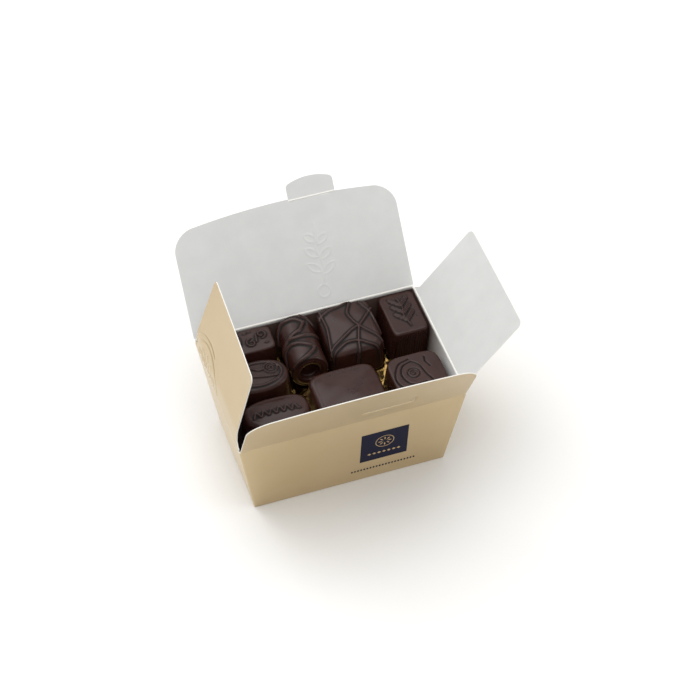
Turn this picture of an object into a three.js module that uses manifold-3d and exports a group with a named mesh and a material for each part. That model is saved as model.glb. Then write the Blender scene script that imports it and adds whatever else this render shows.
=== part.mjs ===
// An open ballotin: a tapered box of folded card with four flaps, filled with dark chocolate pralines.
// Millimetres. X runs along the front from left to right, Y from the front to the back, Z up.
// The origin is the middle of the base, on the table.
import * as THREE from "three";
import { mergeVertices } from "three/addons/utils/BufferGeometryUtils.js";
import Module from "manifold-3d";

const wasm = await Module();
wasm.setup();

// The box, outside
const RIM_LENGTH = 118;
const RIM_WIDTH = 78.8;
const BASE_LENGTH = 101.8;
const BASE_WIDTH = 63.3;
const BOX_HEIGHT = 54.8;
const BOARD = 0.5;
const FOLD_RADIUS = 0.9; // rounding of the four upright folds
const LEFT_BULGE = 1.3; // how far the left wall is pushed out at its middle
const CREASE = 0.6; // half the width of a crease, left free between two panels

// The flaps: length from the fold, and lean from upright, outwards positive
const LID_LENGTH = 58.8;
const LID_LEAN = 38;
const FRONT_LENGTH = 43;
const FRONT_LEAN = 25.5;
const SIDE_LENGTH = 46.5;
const RIGHT_LEAN = 39.5;
const LEFT_LEAN = -13.3;

// The lid's tongue and the slit that takes it
const TAB_MIDDLE = 16;
const TAB_HALF_WIDTH = 12.4;
const TAB_FOLD = 57.9; // distance of the tongue's crease from the lid's fold
const TAB_LENGTH = 10.5;
const TAB_CREASE = 0.4;
const SLIT_HEIGHT = 13.6; // distance of the slit from the front flap's fold
const SLIT_HOOK = 6;
const SLIT_WIDTH = 0.4;
const SIDE_PLAY = 0.2; // free width at each end of the tongue
const CUT_DEPTH = 4; // of the cuts through the card

// The left flap's second crease: below it the flap leans out, above it in, and more so at the back
const LEFT_FOOT_LEAN = 9.8;
const LEFT_TOP_LEAN = -3.4;
const LEFT_TWIST = -2.2;
const LEFT_CREASE_FROM = 7;
const LEFT_CREASE_TO = 13;

// The contents, from the base up
const CLEARANCE = 0.3;
const SHEET_BASE = 35.1;
const SHEET_THICK = 0.3;
const TOP_BASE = 35.7;

// How finely round shapes are cut
const FLAP_COLUMNS = 8;
const BENT_ROWS = 8;
const PRALINE_SIDES = 24;
const RIDGE_SIDES = 5;
const RIDGE_SINK = 0.3; // part of a raised line's radius that lies below the surface

const degrees = THREE.MathUtils.degToRad;

// Materials
const goldCard = new THREE.MeshStandardMaterial({ color: 0xc9b58c, roughness: 0.42, metalness: 0.55 });
const whiteCard = new THREE.MeshStandardMaterial({ color: 0xe4e4e2, roughness: 0.6, metalness: 0 });
const goldSheet = new THREE.MeshStandardMaterial({ color: 0xb8985a, roughness: 0.3, metalness: 0.8 });
const darkChocolate = new THREE.MeshStandardMaterial({ color: 0x3a2a28, roughness: 0.42, metalness: 0 });

// A closed geometry as a solid that can be joined and cut.
function solidOf(geometry) {
  const bare = geometry.clone();
  bare.deleteAttribute("normal");
  bare.deleteAttribute("uv");
  const merged = mergeVertices(bare, 1e-4);
  return new wasm.Manifold(
    new wasm.Mesh({
      numProp: 3,
      vertProperties: merged.attributes.position.array,
      triVerts: new Uint32Array(merged.index.array),
    }),
  );
}

// A solid back as a geometry.
function geometryOf(solid) {
  const mesh = solid.getMesh();
  const geometry = new THREE.BufferGeometry();
  geometry.setAttribute("position", new THREE.BufferAttribute(new Float32Array(mesh.vertProperties), 3));
  geometry.setIndex(new THREE.BufferAttribute(new Uint32Array(mesh.triVerts), 1));
  geometry.computeVertexNormals();
  return geometry;
}

// A geometry from points and triangles.
function geometryFrom(points, triangles) {
  const geometry = new THREE.BufferGeometry().setFromPoints(points);
  geometry.setIndex(triangles);
  geometry.computeVertexNormals();
  return geometry;
}

// A closed body through rings of points, each counterclockwise from above, the lowest first.
function loft(rings) {
  const count = rings[0].length;
  const points = rings.flat();
  const triangles = [];
  for (let level = 0; level + 1 < rings.length; level++) {
    for (let i = 0; i < count; i++) {
      const a = level * count + i;
      const b = level * count + ((i + 1) % count);
      triangles.push(a, b, b + count, a, b + count, a + count);
    }
  }
  const last = (rings.length - 1) * count;
  for (const [first, up] of [[0, false], [last, true]]) {
    const middle = new THREE.Vector3();
    for (let i = 0; i < count; i++) middle.addScaledVector(points[first + i], 1 / count);
    points.push(middle);
    const centre = points.length - 1;
    for (let i = 0; i < count; i++) {
      const a = first + i;
      const b = first + ((i + 1) % count);
      triangles.push(...(up ? [centre, a, b] : [centre, b, a]));
    }
  }
  return geometryFrom(points, triangles);
}

// A thin closed body between two grids of points, the outer face and the inner face.
function sheet(outer, inner) {
  const rows = outer.length;
  const columns = outer[0].length;
  const points = [...outer.flat(), ...inner.flat()];
  const at = (side, r, c) => side * rows * columns + r * columns + c;
  const triangles = [];
  for (let r = 0; r + 1 < rows; r++) {
    for (let c = 0; c + 1 < columns; c++) {
      const quad = (side) => [
        at(side, r, c), at(side, r + 1, c), at(side, r + 1, c + 1), at(side, r, c + 1),
      ];
      const [a, b, d, e] = quad(0);
      triangles.push(a, b, d, a, d, e);
      const [p, q, s, t] = quad(1);
      triangles.push(p, s, q, p, t, s);
    }
  }
  const edge = [];
  for (let c = 0; c + 1 < columns; c++) edge.push([0, c]);
  for (let r = 0; r + 1 < rows; r++) edge.push([r, columns - 1]);
  for (let c = columns - 1; c > 0; c--) edge.push([rows - 1, c]);
  for (let r = rows - 1; r > 0; r--) edge.push([r, 0]);
  edge.forEach(([r, c], i) => {
    const [r2, c2] = edge[(i + 1) % edge.length];
    const [a, b] = [at(0, r, c), at(0, r2, c2)];
    const [d, e] = [at(1, r, c), at(1, r2, c2)];
    triangles.push(a, b, e, a, e, d);
  });
  return geometryFrom(points, triangles);
}

// The folded tray: four walls that lean out, and a base. Points along a wall let the left one bulge.
const WALL_POINTS = 6;
const WALL_LEVELS = 5;
function trayRing(height, inset) {
  const t = height / BOX_HEIGHT;
  const halfX = THREE.MathUtils.lerp(BASE_LENGTH, RIM_LENGTH, t) / 2;
  const halfY = THREE.MathUtils.lerp(BASE_WIDTH, RIM_WIDTH, t) / 2;
  const flatX = halfX - FOLD_RADIUS;
  const flatY = halfY - FOLD_RADIUS;
  const radius = FOLD_RADIUS - inset;
  const ring = [];
  const corners = [[flatX, flatY, 0], [-flatX, flatY, 90], [-flatX, -flatY, 180], [flatX, -flatY, 270]];
  corners.forEach(([x, y, start], side) => {
    for (const turn of [0, 45, 90]) {
      const angle = degrees(start + turn);
      ring.push(new THREE.Vector3(x + radius * Math.cos(angle), y + radius * Math.sin(angle), height));
    }
    const from = ring.at(-1);
    const [x2, y2, start2] = corners[(side + 1) % corners.length];
    const to = new THREE.Vector3(
      x2 + radius * Math.cos(degrees(start2)), y2 + radius * Math.sin(degrees(start2)), height);
    for (let i = 1; i < WALL_POINTS; i++) {
      const point = from.clone().lerp(to, i / WALL_POINTS);
      if (side === 1) {
        const across = Math.sin(Math.PI * (i / WALL_POINTS));
        point.x -= LEFT_BULGE * Math.sin(Math.PI * Math.min(t, 1)) * across;
      }
      ring.push(point);
    }
  });
  return ring;
}

function tray() {
  const wallTop = BOX_HEIGHT - CREASE;
  const outer = [];
  const inner = [];
  const through = 1; // how far the hollow is cut past the top of the walls
  for (let level = 0; level <= WALL_LEVELS; level++) {
    outer.push(trayRing((wallTop * level) / WALL_LEVELS, 0));
    inner.push(trayRing(BOARD + ((wallTop + through - BOARD) * level) / WALL_LEVELS, BOARD));
  }
  return geometryOf(solidOf(loft(outer)).subtract(solidOf(loft(inner))));
}

// A flap in its own frame: X along the fold, Z up the board, Y out of the box. The fold line is the X axis,
// on the board's outer face. turn(u, v) is the extra outward angle of the board at a place on it.
function flap({ halfWidth, length, sag, corner, shoulder = 0, shoulderRise = 0, start = CREASE, turn }) {
  const top = (u) => length - sag * (u / halfWidth) ** 2;
  const cornerTop = top(halfWidth - corner);
  const stretch = (u) => top(u) / cornerTop;
  const heights = [start];
  if (shoulder) heights.push(shoulderRise);
  const straight = cornerTop - corner;
  const steps = turn ? BENT_ROWS : 1;
  const low = heights.at(-1);
  for (let i = 1; i <= steps; i++) heights.push(low + ((straight - low) * i) / steps);
  for (const angle of [25, 50, 72, 90]) heights.push(straight + corner * Math.sin(degrees(angle)));
  const widthAt = (v) => {
    if (v < shoulderRise) return halfWidth + shoulder * (1 - v / shoulderRise);
    if (v <= straight) return halfWidth;
    return halfWidth - corner + Math.sqrt(Math.max(0, corner ** 2 - (v - straight) ** 2));
  };
  const outer = [];
  const inner = [];
  for (const height of heights) {
    const outerRow = [];
    const innerRow = [];
    for (let c = 0; c <= FLAP_COLUMNS; c++) {
      const u = widthAt(height) * ((2 * c) / FLAP_COLUMNS - 1);
      const blend = (height - start) / (cornerTop - start);
      const v = height * THREE.MathUtils.lerp(1, stretch(u), blend);
      const { y, z, angle } = along(v, u, turn);
      outerRow.push(new THREE.Vector3(u, y, z));
      innerRow.push(new THREE.Vector3(u, y - BOARD * Math.cos(angle), z + BOARD * Math.sin(angle)));
    }
    outer.push(outerRow);
    inner.push(innerRow);
  }
  return sheet(outer, inner);
}

// Walks up a bent board from its fold and gives the place and the angle at distance v.
function along(v, u, turn) {
  if (!turn) return { y: 0, z: v, angle: 0 };
  const steps = 24;
  let y = 0;
  let z = 0;
  for (let i = 0; i < steps; i++) {
    const angle = turn(u, (v * (i + 0.5)) / steps);
    y += (Math.sin(angle) * v) / steps;
    z += (Math.cos(angle) * v) / steps;
  }
  return { y, z, angle: turn(u, v) };
}

// The left flap's bend, as an angle from its own mean lean.
function leftTurn(u, v) {
  const bent = THREE.MathUtils.smoothstep(v, LEFT_CREASE_FROM, LEFT_CREASE_TO);
  const back = u / (RIM_WIDTH / 2);
  return degrees(THREE.MathUtils.lerp(LEFT_FOOT_LEAN, LEFT_TOP_LEAN + LEFT_TWIST * back, bent));
}

function box(width, depth, height, x, y, z) {
  return solidOf(new THREE.BoxGeometry(width, depth, height).translate(x, y, z));
}

const LID = { halfWidth: 59, length: LID_LENGTH, sag: 4.5, corner: 11 };
const FRONT = { halfWidth: 58.2, length: FRONT_LENGTH, sag: 3.7, corner: 11.4 };
const SIDE = { halfWidth: 34.8, length: SIDE_LENGTH, sag: 0.2, corner: 3, shoulder: 3.3, shoulderRise: 3.5 };
const TAB = {
  halfWidth: TAB_HALF_WIDTH, length: TAB_LENGTH, sag: 2.6, corner: 1.8, start: TAB_CREASE,
};

// The lid, straightened at its top edge where the tongue's crease runs.
function lidBoard() {
  const width = 2 * (TAB_HALF_WIDTH + SIDE_PLAY);
  const low = TAB_FOLD - TAB_CREASE;
  const notch = box(width, CUT_DEPTH, CUT_DEPTH, TAB_MIDDLE, 0, low + CUT_DEPTH / 2);
  return geometryOf(solidOf(flap(LID)).subtract(notch));
}

// The front flap, with its slit. Its own X runs the other way, so the slit is on the negative side.
function frontBoard() {
  const end = -TAB_MIDDLE - TAB_HALF_WIDTH;
  const slit = box(2 * TAB_HALF_WIDTH, CUT_DEPTH, SLIT_WIDTH, -TAB_MIDDLE, 0, SLIT_HEIGHT);
  const hook = box(SLIT_WIDTH, CUT_DEPTH, SLIT_HOOK, end, 0, SLIT_HEIGHT + SLIT_HOOK / 2);
  return geometryOf(solidOf(flap(FRONT)).subtract(slit.add(hook)));
}

// A point of a rounded-square outline. power 2 is an ellipse, and higher is squarer.
function outlinePoint(halfX, halfY, power, angle) {
  const c = Math.cos(angle);
  const s = Math.sin(angle);
  return [
    halfX * Math.sign(c) * Math.abs(c) ** (2 / power),
    halfY * Math.sign(s) * Math.abs(s) ** (2 / power),
  ];
}

// How round a praline's upper edge is in a direction. A backShoulder makes the edge at its back sharper.
function shoulderAt({ shoulder, backShoulder = shoulder }, angle) {
  return THREE.MathUtils.lerp(shoulder, backShoulder, Math.max(0, Math.sin(angle)) ** 2);
}

// The section of a moulded praline, from its foot to the middle of its top: how far it is drawn in, how
// much of its width is left, and its height.
function section({ height, draft, crown }, shoulder) {
  const sideTop = height - crown - shoulder;
  const rings = [[0, 1, 0], [draft, 1, sideTop]];
  for (const angle of [35, 65, 90]) {
    const a = degrees(angle);
    rings.push([draft + shoulder * (1 - Math.cos(a)), 1, sideTop + shoulder * Math.sin(a)]);
  }
  for (const left of [0.7, 0.3]) {
    rings.push([draft + shoulder, left, height - crown * left ** 2]);
  }
  return rings;
}

// A moulded praline standing on its foot at the origin. lean slides its top towards X and Y, and rise
// lifts the back edge of its top, and lowers the front edge by as much.
function moulded(shape) {
  const { halfX, halfY, power, height, leanX = 0, leanY = 0, rise = 0 } = shape;
  const rings = section(shape, shape.shoulder).map(() => []);
  for (let i = 0; i < PRALINE_SIDES; i++) {
    const angle = (2 * Math.PI * i) / PRALINE_SIDES;
    section(shape, shoulderAt(shape, angle)).forEach(([inset, left, z], level) => {
      const [x, y] = outlinePoint(halfX - inset, halfY - inset, power, angle);
      const up = (rise * y * left * z) / (halfY * height);
      rings[level].push(new THREE.Vector3(x * left + leanX * z, y * left + leanY * z, z + up));
    });
  }
  return loft(rings);
}

// Height of a praline's top at a place, from its section.
function topAt(shape, x, y) {
  const { halfX, halfY, power, draft, height, crown, leanX = 0, leanY = 0, rise = 0 } = shape;
  const up = (rise * (y - leanY * height)) / halfY;
  const shoulder = shoulderAt(shape, Math.atan2(y - leanY * height, x - leanX * height));
  const px = Math.abs(x - leanX * height) / (halfX - draft - shoulder);
  const py = Math.abs(y - leanY * height) / (halfY - draft - shoulder);
  const out = (px ** power + py ** power) ** (1 / power);
  if (out <= 1) return height - crown * out ** 2 + up;
  const over = Math.min(1, ((out - 1) * Math.min(halfX, halfY)) / shoulder);
  return height - crown - shoulder * (1 - Math.sqrt(1 - over ** 2)) + up;
}

// A raised line of chocolate along a run of points.
function ridge(points, radius, steps) {
  const profile = new THREE.Shape();
  for (let i = 0; i < RIDGE_SIDES; i++) {
    const angle = (2 * Math.PI * i) / RIDGE_SIDES;
    const [x, y] = [radius * Math.cos(angle), radius * Math.sin(angle)];
    if (i === 0) profile.moveTo(x, y);
    else profile.lineTo(x, y);
  }
  const path = new THREE.CatmullRomCurve3(points, false, "centripetal");
  return solidOf(
    new THREE.ExtrudeGeometry(profile, { steps, bevelEnabled: false, extrudePath: path }),
  );
}

// A raised line that lies on a praline's top, through places given across it.
function topRidge(shape, places, radius, steps) {
  const points = places.map(([x, y]) => new THREE.Vector3(x, y, topAt(shape, x, y) - radius * RIDGE_SINK));
  return ridge(points, radius, steps);
}

// A raised ring, round or oval.
function ring(halfX, halfY, radius, x, y, z) {
  const torus = new THREE.TorusGeometry(1, radius / Math.min(halfX, halfY), RIDGE_SIDES, PRALINE_SIDES);
  return solidOf(torus.scale(halfX, halfY, Math.min(halfX, halfY)).translate(x, y, z));
}

// A spiral's places, from its outer end inwards.
function spiral(x, y, outer, innerRadius, turns, startAngle) {
  const places = [];
  const count = Math.round(turns * 10);
  for (let i = 0; i <= count; i++) {
    const t = i / count;
    const angle = startAngle + 2 * Math.PI * turns * t;
    const r = THREE.MathUtils.lerp(outer, innerRadius, t);
    places.push([x + r * Math.cos(angle), y + r * Math.sin(angle)]);
  }
  return places;
}

function joined(base, extras) {
  return geometryOf(extras.reduce((sum, extra) => sum.add(extra), solidOf(base)));
}

// The eight pralines of the top layer: the place of each on the gold sheet, and its shape
const LEAN = 0.145; // those against a wall lean with it
const LOG_TILT = 5; // degrees, its back end up
const SCROLL = {
  x: -35, y: 28.2, halfX: 15.2, halfY: 7.6, power: 7, height: 18.4, draft: 0.3, shoulder: 1, crown: 0.2,
  leanY: LEAN, rise: 0.9,
};
const LOG = { x: -7.5, y: 21.4, radius: 9.9, length: 29, edge: 1.2, hollow: 5.6, hollowDepth: 3 };
const WEB = {
  x: 18.7, y: 21.1, halfX: 15, halfY: 14.8, power: 6, height: 18.9, draft: 0.4, shoulder: 3,
  backShoulder: 0.8, crown: 1, leanY: LEAN, rise: 2.8,
};
const BLOCK = {
  x: 45.4, y: 21.5, halfX: 9.8, halfY: 14.4, power: 9, height: 18.4, draft: 0.3, shoulder: 1.6,
  backShoulder: 0.9, crown: 0.2, leanX: LEAN, leanY: LEAN,
};
const OVAL = {
  x: -35, y: 8.2, halfX: 17, halfY: 11.8, power: 2.3, height: 17.6, draft: 1.2, shoulder: 2.6,
  crown: 0.4,
};
const BAR = {
  x: -31.9, y: -14.3, halfX: 17.3, halfY: 10.2, power: 2.9, height: 16.4, draft: 1.2, shoulder: 3,
  crown: 1.6,
};
const SMOOTH = {
  x: 5.1, y: -15.4, halfX: 19.2, halfY: 17.4, power: 5.5, height: 18.2, draft: 1.2, shoulder: 3.2,
  crown: 1.6,
};
const SWIRL = {
  x: 40, y: -16.3, halfX: 14.6, halfY: 13.9, power: 4.6, height: 18, draft: 0.7, shoulder: 1.6,
  crown: 0.5, leanX: 0.09,
};

// Two raised scrolls, end to end.
function scrollPraline() {
  const [x, y] = [4.2, SCROLL.leanY * SCROLL.height];
  const lines = [
    spiral(x + 3.6, y - 1.2, 2.6, 0.9, 0.8, Math.PI),
    spiral(x - 2.4, y + 1.2, 2.6, 0.9, 0.8, 0),
  ];
  return joined(moulded(SCROLL), lines.map((line) => topRidge(SCROLL, line, 0.5, 10)));
}

// A cylinder lying front to back with a hollow at its front end and drizzled loops over its top.
function logPraline() {
  const { radius, edge, hollow, hollowDepth } = LOG;
  const half = LOG.length / 2;
  const drizzleRadius = 0.6;
  const profile = [
    [0, -half + hollowDepth], [hollow - edge / 2, -half + hollowDepth], [hollow, -half],
    [radius - edge, -half], [radius, -half + edge], [radius, half - edge],
    [radius - edge, half], [0, half],
  ].map(([r, y]) => new THREE.Vector2(r, y));
  const body = new THREE.LatheGeometry(profile, PRALINE_SIDES).translate(0, 0, radius);
  const lean = new THREE.Matrix4().makeShear(0, 0, 0, 0, 0, LEAN);
  const tilt = new THREE.Matrix4().makeRotationX(degrees(LOG_TILT));
  tilt.setPosition(0, 0, half * Math.sin(degrees(LOG_TILT)));
  const over = (angle, y) => {
    const r = radius - drizzleRadius * RIDGE_SINK;
    const a = degrees(angle);
    return new THREE.Vector3(r * Math.sin(a), y, radius + r * Math.cos(a));
  };
  const loops = [
    [[-84, 6], [-55, 11], [-25, 12.2], [8, 11], [28, 9.6], [12, 7.4], [-20, 4], [-52, 0.5]],
    [[-40, 2.4], [-10, 5], [20, 5.4], [52, 3.4], [84, 0.6]],
    [[-84, -9], [-60, -5.2], [-30, -3], [5, -2.8], [34, -4.8], [12, -7.6], [-18, -10.4], [-46, -12]],
  ];
  const drizzle = loops.map(
    (loop) => ridge(loop.map(([a, y]) => over(a, y)), drizzleRadius, 2 * loop.length));
  return joined(body, drizzle).applyMatrix4(tilt).applyMatrix4(lean);
}

// A dome with a net of drizzled lines.
function webPraline() {
  const y0 = WEB.leanY * WEB.height;
  const knot = [4.4, -3.6 + y0];
  const lines = [
    [[-12.5, 5 + y0], [-7.4, 9.2 + y0], [-1.4, 11 + y0]],
    [[2.6, 11.4 + y0], [0.4, 6.2 + y0], [1.9, 0.6 + y0], knot],
    [knot, [8, 0.4 + y0], [12, 4.6 + y0]],
    [knot, [1.8, -8.6 + y0], [0, -13 + y0]],
    [knot, [-4, -6.4 + y0], [-12.8, -11 + y0]],
    [[-12.2, -12.4 + y0], [-8.4, -9.6 + y0], [-2.2, -9 + y0], [6, -10 + y0], [11.6, -12.6 + y0]],
    [knot, [12.4, -8.2 + y0]],
    [[9.4, 10.2 + y0], [12.6, 4 + y0], [13.2, -1 + y0]],
  ];
  return joined(moulded(WEB), lines.map((line) => topRidge(WEB, line, 0.55, 6)));
}

// A tall block with a raised sprig: a stem and three pairs of leaves.
function blockPraline() {
  const x0 = BLOCK.leanX * BLOCK.height;
  const y0 = BLOCK.leanY * BLOCK.height;
  const lines = [[[x0 + 0.8, y0 - 9.6], [x0 - 0.6, y0 - 3], [x0 + 0.4, y0 + 3], [x0 - 0.4, y0 + 9.4]]];
  for (const step of [-4.6, 0.4, 5.2]) {
    for (const side of [-1, 1]) {
      lines.push([[x0, y0 + step], [x0 + side * 2.6, y0 + step + 1.2], [x0 + side * 4.4, y0 + step + 3.4]]);
    }
  }
  return joined(moulded(BLOCK), lines.map((line) => topRidge(BLOCK, line, 0.5, 4)));
}

// An oval with a raised rim round a curl.
function ovalPraline() {
  const rim = ring(12, 7, 0.5, 0, 0, OVAL.height - OVAL.crown);
  const curl = topRidge(OVAL, spiral(6, 1.2, 3.4, 1, 1.2, Math.PI / 2), 0.42, 14);
  return joined(moulded(OVAL), [rim, curl]);
}

// A long bar with a raised wave along its top.
function barPraline() {
  const [half, swing, middle, bends] = [11, 1.6, -1, 12];
  const wave = [];
  for (let i = 0; i <= bends; i++) {
    wave.push([half * ((2 * i) / bends - 1), middle + swing * (i % 2 ? 1 : -1)]);
  }
  return joined(moulded(BAR), [topRidge(BAR, wave, 0.55, 2 * bends)]);
}

// A rounded square with a coil whose outer turn runs off as a tail.
function swirlPraline() {
  const coil = spiral(-0.5, 0.1, 2.8, 1, 1.2, 0);
  const turn = spiral(-0.5, 0.1, 6.2, 5.6, 0.62, Math.PI / 3);
  const outer = spiral(-0.5, 0.1, 9, 8, 0.6, Math.PI / 2.2);
  const tail = [[3, 5.7], [6.2, 1.5], [8.2, -4.5], [10.4, -9.1]];
  const lines = [coil, turn, outer, tail];
  return joined(moulded(SWIRL), lines.map((line) => topRidge(SWIRL, line, 0.42, 12)));
}

const root = new THREE.Group();

function place(parent, name, geometry, material, x = 0, y = 0, z = 0) {
  const mesh = new THREE.Mesh(geometry, material);
  mesh.name = name;
  mesh.position.set(x, y, z);
  parent.add(mesh);
  return mesh;
}

place(root, "box", tray(), goldCard);

// A group on a fold line: facing turns the flap's outward side, and lean tips it out.
function hinge(x, y, facing, lean) {
  const side = new THREE.Group();
  side.position.set(x, y, BOX_HEIGHT);
  side.rotation.z = degrees(facing);
  const tipped = new THREE.Group();
  tipped.rotation.x = -degrees(lean);
  side.add(tipped);
  root.add(side);
  return tipped;
}

const lidHinge = hinge(0, RIM_WIDTH / 2, 0, LID_LEAN);
place(lidHinge, "lid_flap", lidBoard(), whiteCard);
place(lidHinge, "lid_tongue", flap(TAB), whiteCard, TAB_MIDDLE, 0, TAB_FOLD);
place(hinge(0, -RIM_WIDTH / 2, 180, FRONT_LEAN), "front_flap", frontBoard(), goldCard);
place(hinge(RIM_LENGTH / 2, 0, -90, RIGHT_LEAN), "right_flap", flap(SIDE), whiteCard);
place(hinge(-RIM_LENGTH / 2, 0, 90, LEFT_LEAN), "left_flap", flap({ ...SIDE, turn: leftTurn }), goldCard);

// Inside half sizes of the tray at a height
function insideX(height) {
  return THREE.MathUtils.lerp(BASE_LENGTH, RIM_LENGTH, height / BOX_HEIGHT) / 2 - BOARD - CLEARANCE;
}
function insideY(height) {
  return THREE.MathUtils.lerp(BASE_WIDTH, RIM_WIDTH, height / BOX_HEIGHT) / 2 - BOARD - CLEARANCE;
}

// The layers under the gold sheet, hidden by it: one plain solid that fills the tray up to the sheet
function lowerLayers() {
  const [low, high] = [BOARD + CLEARANCE, SHEET_BASE - CLEARANCE];
  const rings = [];
  for (let level = 0; level <= WALL_LEVELS; level++) {
    rings.push(trayRing(low + ((high - low) * level) / WALL_LEVELS, BOARD + CLEARANCE));
  }
  return loft(rings);
}
place(root, "lower_layers", lowerLayers(), darkChocolate);

const goldSheetSize = [2 * (insideX(SHEET_BASE) - CLEARANCE), 2 * (insideY(SHEET_BASE) - CLEARANCE)];
const goldSheetSolid = new THREE.BoxGeometry(...goldSheetSize, SHEET_THICK);
place(root, "gold_sheet", goldSheetSolid, goldSheet, 0, 0, SHEET_BASE + SHEET_THICK / 2);

const TOP_LAYER = [
  ["praline_scroll", scrollPraline(), SCROLL],
  ["praline_log", logPraline(), LOG],
  ["praline_web", webPraline(), WEB],
  ["praline_block", blockPraline(), BLOCK],
  ["praline_oval", ovalPraline(), OVAL],
  ["praline_bar", barPraline(), BAR],
  ["praline_smooth", moulded(SMOOTH), SMOOTH],
  ["praline_swirl", swirlPraline(), SWIRL],
];
for (const [name, geometry, { x, y }] of TOP_LAYER) {
  place(root, name, geometry, darkChocolate, x, y, TOP_BASE);
}

export default root;
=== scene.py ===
import math

import bpy
import numpy as np
from mathutils import Matrix, Vector


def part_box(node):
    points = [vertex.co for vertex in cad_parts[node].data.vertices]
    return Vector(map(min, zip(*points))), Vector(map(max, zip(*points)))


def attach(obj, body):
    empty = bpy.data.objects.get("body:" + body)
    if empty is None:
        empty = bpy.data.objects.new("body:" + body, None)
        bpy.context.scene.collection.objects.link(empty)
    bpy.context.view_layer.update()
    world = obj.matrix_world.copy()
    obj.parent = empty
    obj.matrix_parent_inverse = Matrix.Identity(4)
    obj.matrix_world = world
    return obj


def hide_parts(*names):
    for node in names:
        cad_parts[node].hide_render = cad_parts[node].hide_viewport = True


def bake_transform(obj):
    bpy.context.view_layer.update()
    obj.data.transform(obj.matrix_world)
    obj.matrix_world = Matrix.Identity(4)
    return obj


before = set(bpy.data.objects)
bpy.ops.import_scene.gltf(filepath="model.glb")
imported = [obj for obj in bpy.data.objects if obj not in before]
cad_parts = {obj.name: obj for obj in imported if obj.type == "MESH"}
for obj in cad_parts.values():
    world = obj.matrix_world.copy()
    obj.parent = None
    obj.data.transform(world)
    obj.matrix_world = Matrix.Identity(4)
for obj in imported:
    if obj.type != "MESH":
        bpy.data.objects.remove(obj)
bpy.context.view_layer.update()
MM = 0.001

# Camera
# It stands in front of the box, a little to its left, and looks down at about 47 degrees,
# through a long lens, as in the photograph.
CAMERA_PLACE = Vector((-231.8, -737.7, 913.3))
CAMERA_TURN = math.radians(17.865)
CAMERA_PITCH = math.radians(47.333)
CAMERA_ROLL = math.radians(0.871)
CAMERA_LENS = 122.03
CAMERA_SENSOR = 36

ahead = Vector((
    math.sin(CAMERA_TURN) * math.cos(CAMERA_PITCH),
    math.cos(CAMERA_TURN) * math.cos(CAMERA_PITCH),
    -math.sin(CAMERA_PITCH),
))
level = Vector((math.cos(CAMERA_TURN), -math.sin(CAMERA_TURN), 0))
down = ahead.cross(level)
right = math.cos(CAMERA_ROLL) * level + math.sin(CAMERA_ROLL) * down
up = math.sin(CAMERA_ROLL) * level - math.cos(CAMERA_ROLL) * down
camera = bpy.data.objects.new("camera", bpy.data.cameras.new("camera"))
camera.data.lens = CAMERA_LENS
camera.data.sensor_width = CAMERA_SENSOR
camera.matrix_world = (
    Matrix.Translation(CAMERA_PLACE * MM) @ Matrix((right, up, -ahead)).transposed().to_4x4()
)
bpy.context.collection.objects.link(camera)
bpy.context.scene.camera = camera
bpy.context.scene.view_settings.view_transform = "Standard"


# Table and light
# A matt white table top, lit as in a small product studio: a white tent all round, a large soft
# box overhead, two smaller ones behind and a weak one low on the right.
def linear(code):
    """An sRGB hex colour as linear red, green, blue and alpha."""
    values = []
    for place in (0, 2, 4):
        value = int(code[place:place + 2], 16) / 255
        values.append(value / 12.92 if value <= 0.04045 else ((value + 0.055) / 1.055) ** 2.4)
    return (*values, 1)


def add_node(tree, kind, settings=(), links=()):
    """Adds a node. Settings are its inputs and properties, and links are its inputs' sources."""
    made = tree.nodes.new(kind)
    for name, value in dict(settings).items():
        if isinstance(name, int) or name in made.inputs:
            made.inputs[name].default_value = value
        else:
            setattr(made, name, value)
    for name, source in dict(links).items():
        tree.links.new(source, made.inputs[name])
    return made


def new_material(name):
    """A new material and its empty node tree."""
    made = bpy.data.materials.new(name)
    made.use_nodes = True
    made.node_tree.nodes.clear()
    return made, made.node_tree


def surfaced(material, shader):
    """The material, with a shader linked to its output."""
    add_node(material.node_tree, "ShaderNodeOutputMaterial", (), {"Surface": shader.outputs[0]})
    return material


TABLE_SIZE = 6000
TABLE_COLOUR = "fbfbfa"
TENT_COLOUR = "ffffff"
TENT_STRENGTH = 0.43
# Each soft box: place, width and depth in mm, and watts
SOFT_BOXES = {
    "overhead_soft_box": ((-160, 90, 1250), 1400, 13),
    "rear_left_soft_box": ((-500, 800, 700), 620, 2.4),
    "rear_right_soft_box": ((330, 900, 900), 620, 0.8),
    "side_soft_box": ((750, -450, 350), 500, 1.7),
}

floor_mesh = bpy.data.meshes.new("table_top")
half = TABLE_SIZE / 2 * MM
floor_corners = [(-half, -half, 0), (half, -half, 0), (half, half, 0), (-half, half, 0)]
floor_mesh.from_pydata(floor_corners, [], [(0, 1, 2, 3)])
floor = bpy.data.objects.new("table_top", floor_mesh)
bpy.context.collection.objects.link(floor)
# The laminate is matt: it takes a soft shadow, and shows no mirror image of the box.
laminate, laminate_tree = new_material("matt_white_laminate")
laminate_shader = add_node(
    laminate_tree, "ShaderNodeBsdfPrincipled", {"Base Color": linear(TABLE_COLOUR), "Roughness": 0.6}
)
floor_mesh.materials.append(surfaced(laminate, laminate_shader))

world = bpy.data.worlds.new("white_tent")
world.use_nodes = True
world.node_tree.nodes.clear()
tent = add_node(
    world.node_tree, "ShaderNodeBackground", {"Color": linear(TENT_COLOUR), "Strength": TENT_STRENGTH}
)
add_node(world.node_tree, "ShaderNodeOutputWorld", (), {"Surface": tent.outputs[0]})
bpy.context.scene.world = world

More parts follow.
